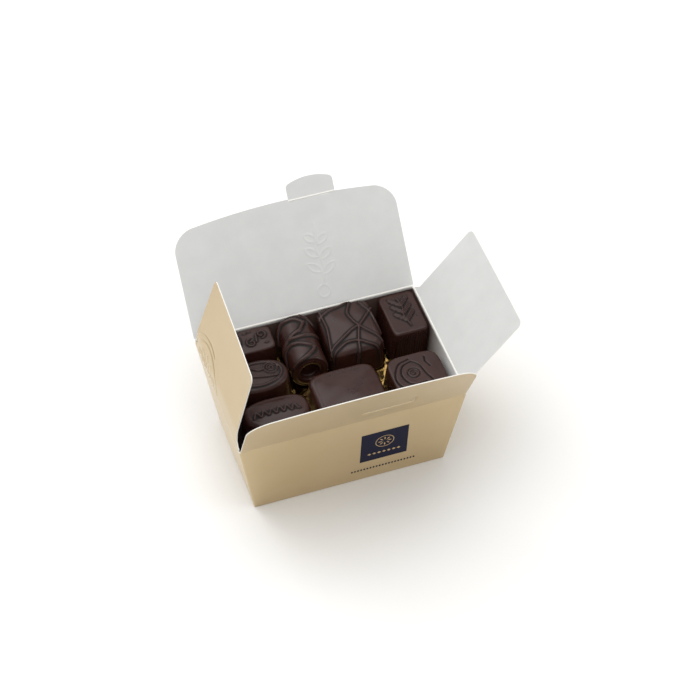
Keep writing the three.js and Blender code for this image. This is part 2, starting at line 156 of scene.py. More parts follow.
for name, (place, width, watts) in SOFT_BOXES.items():
    lamp = bpy.data.lights.new(name, "AREA")
    lamp.size = width * MM
    lamp.energy = watts
    lamp_object = bpy.data.objects.new(name, lamp)
    lamp_object.location = Vector(place) * MM
    lamp_object.rotation_euler = (-Vector(place)).to_track_quat("-Z", "Y").to_euler()
    bpy.context.collection.objects.link(lamp_object)


# Folding box card
# The box is one sheet of half-millimetre board, printed satin gold outside and left white inside,
# die-cut, creased and glued. The cut edge shows the board's white core.
BOARD = 0.5
GOLD_PRINT = "cbb68c"
GOLD_PRINT_DEEP = "c5ac7f"
WHITE_LINER = "dededc"
WHITE_LINER_GREY = "d3d3d1"
# The cut edge's white, used also on the inside of the creases as a painted highlight
WHITE_CORE_AND_CREASE_HIGHLIGHT = "f3f1ea"
# Real paper's tooth is about 0.1 mm. It is drawn coarser, so that it shows.
PAPER_TOOTH = 0.35
PULP_GRAIN = 0.25
LINER_FIBRE = 0.6
LINER_MOTTLE = 9
GOLD_CLOUD = 22


def satin_gold_card():
    """Gold ink over card: a soft metallic sheen, with the fine tooth of the paper in it."""
    made, tree = new_material("satin_gold_printed_card")
    place = add_node(tree, "ShaderNodeTexCoord").outputs["Object"]
    tooth = add_node(
        tree, "ShaderNodeTexNoise", {"Scale": 1000 / PAPER_TOOTH, "Detail": 3.0}, {"Vector": place}
    )
    cloud = add_node(
        tree, "ShaderNodeTexNoise", {"Scale": 1000 / GOLD_CLOUD, "Detail": 2.0}, {"Vector": place}
    )
    colour = add_node(
        tree, "ShaderNodeMixRGB", {"Color1": linear(GOLD_PRINT), "Color2": linear(GOLD_PRINT_DEEP)},
        {"Fac": cloud.outputs[0]},
    )
    rough = add_node(
        tree, "ShaderNodeMapRange", {"To Min": 0.36, "To Max": 0.5}, {"Value": tooth.outputs[0]}
    )
    bump = add_node(
        tree, "ShaderNodeBump", {"Strength": 0.12, "Distance": 0.05 * MM}, {"Height": tooth.outputs[0]}
    )
    shader = add_node(
        tree, "ShaderNodeBsdfPrincipled", {"Metallic": 0.8, "Coat Weight": 0.7, "Coat Roughness": 0.35},
        {"Base Color": colour.outputs[0], "Roughness": rough.outputs[0], "Normal": bump.outputs[0]},
    )
    return surfaced(made, shader)


def uncoated_white_card():
    """The board's inside: matt white, very slightly mottled with paper fibre."""
    made, tree = new_material("uncoated_white_card")
    place = add_node(tree, "ShaderNodeTexCoord").outputs["Object"]
    fibre = add_node(
        tree, "ShaderNodeTexNoise", {"Scale": 1000 / LINER_FIBRE, "Detail": 4.0}, {"Vector": place}
    )
    mottle = add_node(
        tree, "ShaderNodeTexNoise", {"Scale": 1000 / LINER_MOTTLE, "Detail": 4.0}, {"Vector": place}
    )
    colour = add_node(
        tree, "ShaderNodeMixRGB", {"Color1": linear(WHITE_LINER), "Color2": linear(WHITE_LINER_GREY)},
        {"Fac": mottle.outputs[0]},
    )
    bump = add_node(
        tree, "ShaderNodeBump", {"Strength": 0.2, "Distance": 0.04 * MM}, {"Height": fibre.outputs[0]}
    )
    shader = add_node(
        tree, "ShaderNodeBsdfPrincipled", {"Roughness": 0.62},
        {"Base Color": colour.outputs[0], "Normal": bump.outputs[0]},
    )
    return surfaced(made, shader)


def cut_edge_and_crease_highlight():
    """The die-cut edge: white pulp, uncoated and a little rough. It also colours the inside of the creases,
    as a painted highlight.
    """
    made, tree = new_material("cut_edge_and_crease_highlight")
    place = add_node(tree, "ShaderNodeTexCoord").outputs["Object"]
    pulp = add_node(
        tree, "ShaderNodeTexNoise", {"Scale": 1000 / PULP_GRAIN, "Detail": 2.0}, {"Vector": place}
    )
    bump = add_node(
        tree, "ShaderNodeBump", {"Strength": 0.3, "Distance": 0.05 * MM}, {"Height": pulp.outputs[0]}
    )
    shader = add_node(
        tree, "ShaderNodeBsdfPrincipled", {"Base Color": linear(WHITE_CORE_AND_CREASE_HIGHLIGHT), "Roughness": 0.8},
        {"Normal": bump.outputs[0]},
    )
    return surfaced(made, shader)


CARD = [satin_gold_card(), uncoated_white_card(), cut_edge_and_crease_highlight()]
GOLD, WHITE, EDGE = range(3)


def grid_quads(rows, columns, first=0, closed=False, turned=False):
    """The quads between rows of points that start at a first point.
    Closed joins the last column to the first, and turned makes them face the other way."""
    row = np.arange(rows - 1)[:, None]
    column = np.arange(columns if closed else columns - 1)[None, :]
    a = row * columns + column
    b = row * columns + (column + 1) % columns
    quads = np.stack([a, b, b + columns, a + columns], -1).reshape(-1, 4) + first
    return (quads[:, ::-1] if turned else quads).tolist()


def make_piece(name, points, groups, materials, crease_angle=40):
    """A mesh object from points in mm and groups of (faces, material)."""
    mesh = bpy.data.meshes.new(name)
    faces = [face for group, material in groups for face in group]
    mesh.from_pydata((np.asarray(points) * MM).tolist(), [], faces)
    for material in materials:
        mesh.materials.append(material)
    numbers = [material for group, material in groups for face in group]
    mesh.polygons.foreach_set("material_index", numbers)
    mesh.polygons.foreach_set("use_smooth", [True] * len(faces))
    mesh.set_sharp_from_angle(angle=math.radians(crease_angle))
    mesh.update()
    made = bpy.data.objects.new(name, mesh)
    bpy.context.collection.objects.link(made)
    return made


# The tray
# Four walls that lean out from a smaller base, folded from the card at rounded corners and glued.
# The left wall bulges a little where the card is pushed out.
RIM_LENGTH = 118
RIM_WIDTH = 78.8
BASE_LENGTH = 101.8
BASE_WIDTH = 63.3
BOX_HEIGHT = 54.8
CREASE = 0.6
FOLD_RADIUS = 0.9
LEFT_BULGE = 1.3
SIDE_WALL_LEAN = math.atan((RIM_LENGTH - BASE_LENGTH) / 2 / BOX_HEIGHT)
FRONT_WALL_LEAN = math.atan((RIM_WIDTH - BASE_WIDTH) / 2 / BOX_HEIGHT)
# Painted shade: the walls' inside is coloured brown below the rim, for the shade in the narrow gaps beside
# the pralines.
PAINTED_SHADE_BROWN = "4a3730"
PAINTED_SHADE_PALE = "5a463e"
PAINTED_SHADE_MOTTLE = 5
# Where the painted shade starts and is full: up the walls, towards the rear, and in from the right wall
PAINTED_SHADE_LOW = (54.3, 53.2)
PAINTED_SHADE_REAR = (-16, 12)
PAINTED_SHADE_INNER = (52, 48)
FOLD_STEPS = 6
WALL_STEPS = 24
WALL_ROWS = 24
FOOT_ROUNDING = 0.45
FOOT_ANGLES = (0, 0.4, 0.8, 1.2)


def wall_ring(height, inset):
    """The tray's outline at a height, inset from the outside."""
    share = height / BOX_HEIGHT
    half_x = (BASE_LENGTH + (RIM_LENGTH - BASE_LENGTH) * share) / 2 - FOLD_RADIUS
    half_y = (BASE_WIDTH + (RIM_WIDTH - BASE_WIDTH) * share) / 2 - FOLD_RADIUS
    radius = FOLD_RADIUS - inset
    corners = [(half_x, half_y, 0), (-half_x, half_y, 90), (-half_x, -half_y, 180), (half_x, -half_y, 270)]
    ring = []
    for side, (x, y, start) in enumerate(corners):
        for step in range(FOLD_STEPS + 1):
            angle = math.radians(start + 90 * step / FOLD_STEPS)
            ring.append((x + radius * math.cos(angle), y + radius * math.sin(angle), height))
        next_x, next_y, next_start = corners[(side + 1) % 4]
        angle = math.radians(next_start)
        far = (next_x + radius * math.cos(angle), next_y + radius * math.sin(angle))
        near = ring[-1]
        for step in range(1, WALL_STEPS):
            t = step / WALL_STEPS
            bulge = 0
            if side == 1:
                bulge = LEFT_BULGE * math.sin(math.pi * t) * math.sin(math.pi * min(share, 1))
            x_there = near[0] + (far[0] - near[0]) * t - bulge
            ring.append((x_there, near[1] + (far[1] - near[1]) * t, height))
    return ring


def white_card_with_painted_shade():
    """The walls' inside: white card with painted shade, brown below the rim except towards the front of the
    right wall.
    """
    made, tree = new_material("white_card_painted_shade")
    place = add_node(tree, "ShaderNodeTexCoord").outputs["Object"]
    axes = add_node(tree, "ShaderNodeSeparateXYZ", (), {"Vector": place})
    low, rear, inner = [
        add_node(
            tree, "ShaderNodeMapRange", {"From Min": first * MM, "From Max": full * MM},
            {"Value": axes.outputs[axis]},
        )
        for axis, (first, full) in (("Z", PAINTED_SHADE_LOW), ("Y", PAINTED_SHADE_REAR), ("X", PAINTED_SHADE_INNER))
    ]
    where = add_node(
        tree, "ShaderNodeMath", {"operation": "MAXIMUM"}, {0: rear.outputs[0], 1: inner.outputs[0]}
    )
    # Painted shade: how much of the brown goes on, by height, towards the rear and away from the right wall.
    painted_light_mix = add_node(
        tree, "ShaderNodeMath", {"operation": "MULTIPLY"}, {0: low.outputs[0], 1: where.outputs[0]}
    )
    shade_mottle = add_node(
        tree, "ShaderNodeTexNoise", {"Scale": 1000 / PAINTED_SHADE_MOTTLE, "Detail": 4.0}, {"Vector": place}
    )
    shade_colour = add_node(
        tree, "ShaderNodeMixRGB", {"Color1": linear(PAINTED_SHADE_BROWN), "Color2": linear(PAINTED_SHADE_PALE)},
        {"Fac": shade_mottle.outputs[0]},
    )
    colour = add_node(
        tree, "ShaderNodeMixRGB", {"Color1": linear(WHITE_LINER)},
        {"Fac": painted_light_mix.outputs[0], "Color2": shade_colour.outputs[0]},
    )
    shader = add_node(
        tree, "ShaderNodeBsdfPrincipled", {"Roughness": 0.62}, {"Base Color": colour.outputs[0]}
    )
    return surfaced(made, shader)


def stand_for(piece, node, body):
    """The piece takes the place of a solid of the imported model, and moves with a body."""
    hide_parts(node)
    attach(piece, body)


wall_top = BOX_HEIGHT - CREASE
outside = [
    wall_ring(FOOT_ROUNDING * (1 - math.cos(a)), FOOT_ROUNDING * (1 - math.sin(a))) for a in FOOT_ANGLES
]
outside += [wall_ring(h, 0) for h in np.linspace(FOOT_ROUNDING, wall_top, WALL_ROWS)]
inside = [wall_ring(h, BOARD) for h in np.linspace(wall_top, BOARD, WALL_ROWS)]
rings = outside + inside
around = len(rings[0])
points = [point for ring in rings for point in ring]
last = (len(rings) - 1) * around
tray = make_piece(
    "card_tray", points,
    [
        (grid_quads(len(outside), around, closed=True), GOLD),
        (grid_quads(2, around, (len(outside) - 1) * around, closed=True), EDGE),
        (grid_quads(len(inside), around, len(outside) * around, closed=True), len(CARD)),
        ([list(range(around))[::-1]], GOLD),
        ([list(range(last, last + around))], len(CARD)),
    ],
    [*CARD, white_card_with_painted_shade()],
)
stand_for(tray, "box", "tray")


# The lid
# The largest flap: a panel of the same board that leans back on a crease at the rear rim. It is
# die-cut with round corners and a notch for its tongue, and blind-embossed.
CORNER_ANGLES = (8, 16, 25, 34, 43, 52, 62, 72, 81, 90)
BOARD_CELL = 2.5
SHOULDER_STEPS = 7
TURN_STEPS = 24
CREASE_STEPS = 8
CREASE_PLACES = 49


def hinge_frame(x, y, facing, lean):
    """The place of a flap: X along its fold, Y outwards, Z up the board."""
    return (
        Matrix.Translation((x, y, BOX_HEIGHT))
        @ Matrix.Rotation(math.radians(facing), 4, "Z")
        @ Matrix.Rotation(-math.radians(lean), 4, "X")
    )


def into(matrix, points):
    """Points moved by a matrix."""
    m = np.array(matrix)
    return np.asarray(points) @ m[:3, :3].T + m[:3, 3]


def smooth_step(x, low, high):
    """0 below low, 1 above high, and a smooth rise between."""
    t = np.clip((x - low) / (high - low), 0, 1)
    return t * t * (3 - 2 * t)


def dense(low, high, step, fine_low=0, fine_high=0, fine_step=0):
    """Places along a length, closer together within a stretch that carries relief."""
    if not fine_step:
        return np.linspace(low, high, max(2, round((high - low) / step) + 1))
    before = np.linspace(low, fine_low, max(2, round((fine_low - low) / step) + 1))
    within = np.linspace(fine_low, fine_high, round((fine_high - fine_low) / fine_step) + 1)
    after = np.linspace(fine_high, high, max(2, round((high - fine_high) / step) + 1))
    return np.concatenate([before[:-1], within, after[1:]])


def grid_rim(rows, columns):
    """The points round the rim of a grid, in order."""
    last = (rows - 1) * columns
    front = range(columns - 1)
    right_side = range(columns - 1, last + columns - 1, columns)
    rear = range(last + columns - 1, last, -1)
    left_side = range(last, 0, -columns)
    return [*front, *right_side, *rear, *left_side]


def sheet_quads(rows, columns, turned=False):
    """The quads of a sheet's first face, of its second, whose points follow, and of its cut edge."""
    count = rows * columns
    rim = grid_rim(rows, columns)
    edge = [(a, a + count, b + count, b) for a, b in zip(rim, rim[1:] + rim[:1])]
    if turned:
        edge = [quad[::-1] for quad in edge]
    return grid_quads(rows, columns, turned=turned), grid_quads(rows, columns, count, turned=not turned), edge


def flap_board(name, matrix, half_width, length, sag, corner, shoulder=0, shoulder_rise=0, start=CREASE,
               turn=None, relief=None, fine=((0, 0, 0), (0, 0, 0))):
    """A flap: its edge bows by sag, its corners are round, and shoulders widen its foot.
    turn(u, v) bends it and relief(u, v) embosses it, over the fine stretches of its width and height."""
    corner_top = length - sag * ((half_width - corner) / half_width) ** 2
    straight = corner_top - corner
    fine_u, fine_v = fine
    low = shoulder_rise if shoulder else start
    heights = list(np.linspace(start, low, SHOULDER_STEPS)[:-1]) if shoulder else []
    heights += list(dense(low, straight, BOARD_CELL, *fine_v))
    heights += [straight + corner * math.sin(math.radians(a)) for a in CORNER_ANGLES]
    v = np.array(heights)[:, None]
    share = dense(-half_width, half_width, BOARD_CELL, *fine_u)[None, :] / half_width
    above = np.clip(v - straight, 0, corner)
    width = np.where(
        v < shoulder_rise,
        half_width + shoulder * (1 - v / (shoulder_rise or 1)),
        half_width - corner + np.sqrt(np.maximum(0, corner ** 2 - above ** 2)),
    )
    u = width * share
    blend = (v - start) / (corner_top - start)
    v = v * (1 + blend * ((length - sag * (u / half_width) ** 2) / corner_top - 1))
    angle = np.zeros_like(u)
    y, z = np.zeros_like(u), v.copy()
    if turn:
        z = np.zeros_like(u)
        for step in range(TURN_STEPS):
            part = turn(u, v * (step + 0.5) / TURN_STEPS)
            y += np.sin(part) * v / TURN_STEPS
            z += np.cos(part) * v / TURN_STEPS
        angle = turn(u, v)
    out = relief(u, v) if relief is not None else np.zeros_like(u)
    normal_y, normal_z = np.cos(angle), -np.sin(angle)
    outer = np.stack([u, y + out * normal_y, z + out * normal_z], -1)
    inner = np.stack([u, y + (out - BOARD) * normal_y, z + (out - BOARD) * normal_z], -1)
    points = into(matrix, np.concatenate([outer.reshape(-1, 3), inner.reshape(-1, 3)]))
    gold, white, edge = sheet_quads(*u.shape, turned=True)
    return make_piece(name, points, [(gold, GOLD), (white, WHITE), (edge, EDGE)], CARD)


def crease_strip(name, matrix, half_length, below, above, reach):
    """The fold between two panels: the card bends round, with the bead of a crease on its inside, which takes
    the cut edge's brighter white as a painted highlight.
    """
    low_dir = np.array((-math.sin(below), -math.cos(below)))
    high_dir = np.array((math.sin(above), math.cos(above)))
    low_in = np.array((-math.cos(below), math.sin(below))) * BOARD
    high_in = np.array((-math.cos(above), math.sin(above))) * BOARD
    bead = low_in + high_in
    low, high = low_dir * reach, high_dir * reach
    t = np.linspace(0, 1, CREASE_STEPS + 1)[:, None]
    outer = low * (1 - t) ** 2 + high * t ** 2
    inner = (low + low_in) * (1 - t) ** 2 + 2 * bead * t * (1 - t) + (high + high_in) * t ** 2
    section = np.concatenate([outer, inner[::-1]])
    places = np.linspace(-half_length, half_length, CREASE_PLACES)
    points = np.array([(x, y, z) for x in places for y, z in section])
    around = len(section)
    quads = np.array(grid_quads(len(places), around, closed=True)).reshape(len(places) - 1, around, 4)
    gold = quads[:, :CREASE_STEPS].reshape(-1, 4).tolist()
    # Painted highlight: the fold's inside takes the cut edge's brighter white.
    painted_highlight_faces = quads[:, CREASE_STEPS:].reshape(-1, 4).tolist()
    last = (len(places) - 1) * around
    ends = [list(range(around))[::-1], list(range(last, last + around))]
    strip = make_piece(name, into(matrix, points), [(gold, GOLD), (painted_highlight_faces + ends, EDGE)], CARD)
    direction = (high + high_in / 2) - (low + low_in / 2)
    direction = direction / np.linalg.norm(direction)
    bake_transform(strip)


LID_LEAN = 38
LID = {"half_width": 59, "length": 58.8, "sag": 4.5, "corner": 11}
TONGUE_MIDDLE = 16
TONGUE_FOLD = 57.9
TONGUE_CREASE = 0.4
TONGUE_HALF_WIDTH = 12.4
TONGUE_PLAY = 0.2
NOTCH_HEIGHT = 4
CUT_DEPTH = 4
LID_EMBOSS = 0.132


def through(points, steps=10):
    """A smooth line through points."""
    p = np.asarray(points, float)
    p = np.concatenate([[2 * p[0] - p[1]], p, [2 * p[-1] - p[-2]]])
    t = np.linspace(0, 1, steps, endpoint=False)[:, None]
    parts = []
    for a, b, c, d in zip(p, p[1:], p[2:], p[3:]):
        parts.append(0.5 * (2 * b + (c - a) * t + (2 * a - 5 * b + 4 * c - d) * t ** 2
                            + (3 * b - a - 3 * c + d) * t ** 3))
    return np.concatenate([*parts, p[-2:-1]])


def distance_to(x, y, line):
    """How far each place is from a line of points."""
    nearest = np.full(np.shape(x), 1e9)
    for (ax, ay), (bx, by) in zip(line[:-1], line[1:]):
        dx, dy = bx - ax, by - ay
        t = np.clip(((x - ax) * dx + (y - ay) * dy) / (dx * dx + dy * dy + 1e-12), 0, 1)
        nearest = np.minimum(nearest, np.hypot(x - ax - t * dx, y - ay - t * dy))
    return nearest


def arc(x, y, radius, start, end, count=14, squash=1.0):
    """Points on an arc, its angles in degrees."""
    angles = np.radians(np.linspace(start, end, count))
    return np.stack([x + radius * np.cos(angles), y + squash * radius * np.sin(angles)], -1)


def leaf_outline(x, y, angle, length, width):
    """The closed outline of a pointed leaf that starts at a place."""
    t = np.linspace(0, 1, 12)
    side = width / 2 * np.sin(math.pi * t) ** 0.8
    along = np.concatenate([t, t[::-1][1:]]) * length
    across = np.concatenate([side, -side[::-1][1:]])
    c, s = math.cos(math.radians(angle)), math.sin(math.radians(angle))
    return np.stack([x + along * c - across * s, y + along * s + across * c], -1)


def ridges(u, v, lines, width):
    """Ridges of height 1 with round tops, one along each of some lines."""
    out = np.zeros(np.shape(u))
    for line in lines:
        out = np.maximum(out, np.exp(-(distance_to(u, v, line) / width) ** 2))
    return out


def lid_relief(u, v):
    """A blind-embossed sprig on the lid: a stem with pairs of leaves and a ring at its foot."""
    stem = through([(12.5, 12), (14.5, 22), (12.5, 32), (14, 44)])
    lines = [stem, arc(12.2, 8.6, 3.2, 0, 360, 24)]
    for height, size in ((17, 9), (25, 8.4), (33, 7.4)):
        lines.append(leaf_outline(13.6, height, 38, size, 3.6))
        lines.append(leaf_outline(13.2, height + 1.5, 142, size, 3.6))
    return -LID_EMBOSS * ridges(u, v, lines, 0.42)


def cut_away(piece, boxes):
    """Cuts boxes, each a matrix and a size, out of a piece of card."""
    for matrix, size in boxes:
        x, y, z = [value / 2 for value in size]
        corners = [(a * x, b * y, c * z) for a in (-1, 1) for b in (-1, 1) for c in (-1, 1)]
        sides = [(0, 1, 3, 2), (4, 6, 7, 5), (0, 4, 5, 1), (2, 3, 7, 6), (0, 2, 6, 4), (1, 5, 7, 3)]
        cutter = make_piece("cutter", into(matrix, corners), [(sides, EDGE)], CARD)
        cut = piece.modifiers.new("cut", "BOOLEAN")
        cut.operation = "DIFFERENCE"
        cut.object = cutter
        bpy.context.view_layer.objects.active = piece
        bpy.ops.object.modifier_apply(modifier=cut.name)
        bpy.data.objects.remove(cutter)


lid_place = hinge_frame(0, RIM_WIDTH / 2, 0, LID_LEAN)
lid = flap_board("card_lid", lid_place, **LID, relief=lid_relief, fine=((2, 24, 0.32), (4, 44, 0.32)))
cut_away(lid, [(
    lid_place @ Matrix.Translation((TONGUE_MIDDLE, 0, TONGUE_FOLD - TONGUE_CREASE + NOTCH_HEIGHT / 2)),
    (2 * (TONGUE_HALF_WIDTH + TONGUE_PLAY), CUT_DEPTH, NOTCH_HEIGHT),
)])
stand_for(lid, "lid_flap", "lid")
crease_strip(
    "lid_crease", hinge_frame(0, RIM_WIDTH / 2, 0, 0), LID["half_width"] - BOARD,
    FRONT_WALL_LEAN, math.radians(LID_LEAN), CREASE,
)


# The tongue
# A small tab of the board on a crease of its own at the lid's edge. It goes into the front flap's
# slit when the box is shut.
tongue_place = lid_place @ Matrix.Translation((TONGUE_MIDDLE, 0, TONGUE_FOLD))
tongue = flap_board(
    "card_tongue", tongue_place, half_width=TONGUE_HALF_WIDTH, length=10.5, sag=2.6, corner=1.8,
    start=TONGUE_CREASE,
)
stand_for(tongue, "lid_tongue", "tongue")
crease_strip(
    "tongue_crease", tongue_place, TONGUE_HALF_WIDTH, 0, 0, TONGUE_CREASE
)


# The front flap
# A low panel of the board on a crease at the front rim, with round corners. A knife has cut the
# slit for the tongue in it, with a short hook at one end.
FRONT_LEAN = 25.5
FRONT = {"half_width": 58.2, "length": 43, "sag": 3.7, "corner": 11.4}
SLIT_HEIGHT = 13.6
SLIT_HOOK = 6
SLIT_WIDTH = 0.22

front_place = hinge_frame(0, -RIM_WIDTH / 2, 180, FRONT_LEAN)
front = flap_board("card_front_flap", front_place, **FRONT)
slit_end = -TONGUE_MIDDLE - TONGUE_HALF_WIDTH
cut_away(front, [
    (front_place @ Matrix.Translation((-TONGUE_MIDDLE, 0, SLIT_HEIGHT)),
     (2 * TONGUE_HALF_WIDTH, CUT_DEPTH, SLIT_WIDTH)),
    (front_place @ Matrix.Translation((slit_end, 0, SLIT_HEIGHT + SLIT_HOOK / 2)),
     (SLIT_WIDTH, CUT_DEPTH, SLIT_HOOK)),
])
stand_for(front, "front_flap", "front")
crease_strip(
    "front_crease", hinge_frame(0, -RIM_WIDTH / 2, 180, 0), FRONT["half_width"],
    FRONT_WALL_LEAN, math.radians(FRONT_LEAN), CREASE,
)


# The side flaps
# Two panels of the board on creases at the side rims, with shoulders at their feet. The right one is
# flat. The left one stands up, bent at a second crease, and has half a rosette pressed into it.
RIGHT_LEAN = 39.5
LEFT_LEAN = -13.3
SIDE = {
    "half_width": 34.8, "length": 46.5, "sag": 0.2, "corner": 3, "shoulder": 3.3, "shoulder_rise": 3.5,
}
SECOND_CREASE = (7, 13)
LEFT_FOOT_TURN = 9.8
LEFT_TOP_TURN = -3.4
LEFT_TWIST = -2.2
ROSETTE_DEPTH = 0.352


def left_turn(u, v):
    """The left flap leans out at its foot and in above its second crease, more at the back."""
    bent = smooth_step(v, *SECOND_CREASE)
    above = LEFT_TOP_TURN + LEFT_TWIST * u / (RIM_WIDTH / 2)
    return np.radians(LEFT_FOOT_TURN * (1 - bent) + above * bent)


def left_relief(u, v):
    """A half rosette, pressed in, that the left flap's fold cuts off, towards the back."""
    lines = [leaf_outline(17, -3, angle, 15, 7) for angle in (30, 62, 90, 118, 150)]
    lines += [arc(17, -3, 19, 14, 166, 24), arc(17, -3, 22, 24, 112, 24)]
    return -ROSETTE_DEPTH * ridges(u, v, lines, 0.5)


side_foot = SIDE["half_width"] + SIDE["shoulder"] * (1 - CREASE / SIDE["shoulder_rise"])
right_flap = flap_board("card_right_flap", hinge_frame(RIM_LENGTH / 2, 0, -90, RIGHT_LEAN), **SIDE)
stand_for(right_flap, "right_flap", "right")
crease_strip(
    "right_crease", hinge_frame(RIM_LENGTH / 2, 0, -90, 0), side_foot,
    SIDE_WALL_LEAN, math.radians(RIGHT_LEAN), CREASE,
)
left_flap = flap_board(
    "card_left_flap", hinge_frame(-RIM_LENGTH / 2, 0, 90, LEFT_LEAN), **SIDE, turn=left_turn,
    relief=left_relief, fine=((-5, 34, 0.3), (3.6, 20, 0.3)),
)
stand_for(left_flap, "left_flap", "left")
crease_strip(
    "left_crease", hinge_frame(-RIM_LENGTH / 2, 0, 90, 0), side_foot, SIDE_WALL_LEAN,
    math.radians(LEFT_LEAN) + float(left_turn(0, CREASE)), CREASE,
)


# Print on the front wall
# Flat offset ink on the gold: a navy square with a gold rosette, and a row of small navy lozenges
# below it. Each is a film of ink a few hundredths of a millimetre thick.
NAVY_INK = "15172f"
INK_THICKNESS = 0.04
FILM_GAP = 0.01
TOP_FILM_GAP = 0.06
PALE_GOLD_INK = "cdb083"
# On the wall, places are a distance along the front and one down from the rim
SQUARE_CORNERS = ((4.5, 14.3), (29.5, 39.2))
ROSETTE_CENTRE = (17.1, 23.8)
ROSETTE_RING = (4.6, 4.95)
RING_SIDES = 40
PETALS = 8
PETAL = ((3.7, 0), (2.7, 0.4), (1.1, 0), (2.7, -0.4))
LABEL_ROW_DOWN = 33.3
LABEL_ROW_STEP = 2.6
RULE_START = 0.6
RULE_DOWN = 46.4
RULE_STEP = 1.66
RULE_COUNT = 21


def printing_ink(name, code, metallic, roughness):
    """Offset ink on card, with the paper's tooth just showing in it."""
    made, tree = new_material(name)
    place = add_node(tree, "ShaderNodeTexCoord").outputs["Object"]
    tooth = add_node(
        tree, "ShaderNodeTexNoise", {"Scale": 1000 / PAPER_TOOTH, "Detail": 3.0}, {"Vector": place}
    )
    bump = add_node(
        tree, "ShaderNodeBump", {"Strength": 0.12, "Distance": 0.05 * MM}, {"Height": tooth.outputs[0]}
    )
    shader = add_node(
        tree, "ShaderNodeBsdfPrincipled",
        {
            "Base Color": linear(code), "Metallic": metallic, "Roughness": roughness,
            "Specular IOR Level": 0.15,
        },
        {"Normal": bump.outputs[0]},
    )
    return surfaced(made, shader)


def on_front_wall(x, down, lift):
    """A place on the front wall, a distance down from the rim, lifted off it."""
    c, s = math.cos(FRONT_WALL_LEAN), math.sin(FRONT_WALL_LEAN)
    x, down = np.broadcast_arrays(np.asarray(x, float), np.asarray(down, float))
    y = -RIM_WIDTH / 2 + down * s - lift * c
    z = BOX_HEIGHT - down * c - lift * s
    return np.stack([x, y, z], -1)


def printed(name, outlines, ink, lift, rings=()):
    """Convex outlines and rings (place, inner and outer radius) as one film of ink on the front wall."""
    points, faces = [], []
    for outline in outlines:
        first, count = len(points), len(outline)
        outline = np.asarray(outline)
        for height in (lift, lift + INK_THICKNESS):
            points.extend(on_front_wall(outline[:, 0], outline[:, 1], height))
        below, above = range(first, first + count), range(first + count, first + 2 * count)
        faces += [list(below), list(above)[::-1]]
        for i in range(count):
            j = (i + 1) % count
            faces.append((first + i, first + count + i, first + count + j, first + j))
    for (x, y), inner, outer in rings:
        first = len(points)
        angle = np.linspace(0, 2 * math.pi, RING_SIDES, endpoint=False)
        section = ((inner, lift), (outer, lift), (outer, lift + INK_THICKNESS), (inner, lift + INK_THICKNESS))
        for radius, height in section:
            points.extend(on_front_wall(x + radius * np.cos(angle), y + radius * np.sin(angle), height))
        for row in range(len(section)):
            here = first + row * RING_SIDES
            there = first + (row + 1) % len(section) * RING_SIDES
            for i in range(RING_SIDES):
                j = (i + 1) % RING_SIDES
                faces.append((here + i, there + i, there + j, here + j))
    film = make_piece(name, points, [(faces, 0)], [ink])
    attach(film, "tray")


def lozenge(x, y, half_x, half_y):
    """A small diamond."""
    return [(x + half_x, y), (x, y + half_y), (x - half_x, y), (x, y - half_y)]


navy = printing_ink("navy_offset_ink", NAVY_INK, 0, 0.6)
pale_gold = printing_ink("gold_ink_on_navy", PALE_GOLD_INK, 0.5, 0.4)
(left_x, top_w), (right_x, bottom_w) = SQUARE_CORNERS
square = [(left_x, top_w), (right_x, top_w), (right_x, bottom_w), (left_x, bottom_w)]
printed("label_field", [square], navy, FILM_GAP)
cx, cw = ROSETTE_CENTRE
marks = []
for petal in range(PETALS):
    angle = 2 * math.pi * petal / PETALS
    c, s = math.cos(angle), math.sin(angle)
    marks.append([(cx + a * c - b * s, cw + a * s + b * c) for a, b in PETAL])
marks += [lozenge(cx + step * LABEL_ROW_STEP, LABEL_ROW_DOWN, 1.0, 0.85) for step in range(-3, 4)]
printed("label_rosette", marks, pale_gold, TOP_FILM_GAP, rings=[(ROSETTE_CENTRE, *ROSETTE_RING)])
rule = [lozenge(RULE_START + RULE_STEP * step, RULE_DOWN, 0.66, 0.95) for step in range(RULE_COUNT)]
printed("navy_rule", rule, navy, FILM_GAP)


# The layers below
# The box holds more pralines under the top layer, which nothing shows of. They stay one plain block
# of the imported model, with a dull chocolate on it, coloured near black as painted shade.
CHOCOLATE_BODY = "220f0b"
# Painted shade: the near-black brown that stands for chocolate in shade, in hollows and on the hidden layers.
CHOCOLATE_PAINTED_SHADE = "0b0504"
DULL_CLOUD = 6


def dull_chocolate_painted_shade():
    """The hidden layers' tops: dull chocolate, coloured near black as painted shade for the deep shade they
    lie in.
    """
    made, tree = new_material("dull_chocolate_painted_shade")
    place = add_node(tree, "ShaderNodeTexCoord").outputs["Object"]
    cloud = add_node(
        tree, "ShaderNodeTexNoise", {"Scale": 1000 / DULL_CLOUD, "Detail": 3.0}, {"Vector": place}
    )
    colour = add_node(
        tree, "ShaderNodeMixRGB", {"Color1": linear(CHOCOLATE_PAINTED_SHADE), "Color2": linear(CHOCOLATE_BODY)},
        {"Fac": cloud.outputs[0]},
    )
    shader = add_node(
        tree, "ShaderNodeBsdfPrincipled", {"IOR": 1.46, "Specular IOR Level": 0.15, "Roughness": 0.7},
        {"Base Color": colour.outputs[0]},
    )
    return surfaced(made, shader)


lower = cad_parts["lower_layers"]
lower.data.materials.clear()
lower.data.materials.append(dull_chocolate_painted_shade())


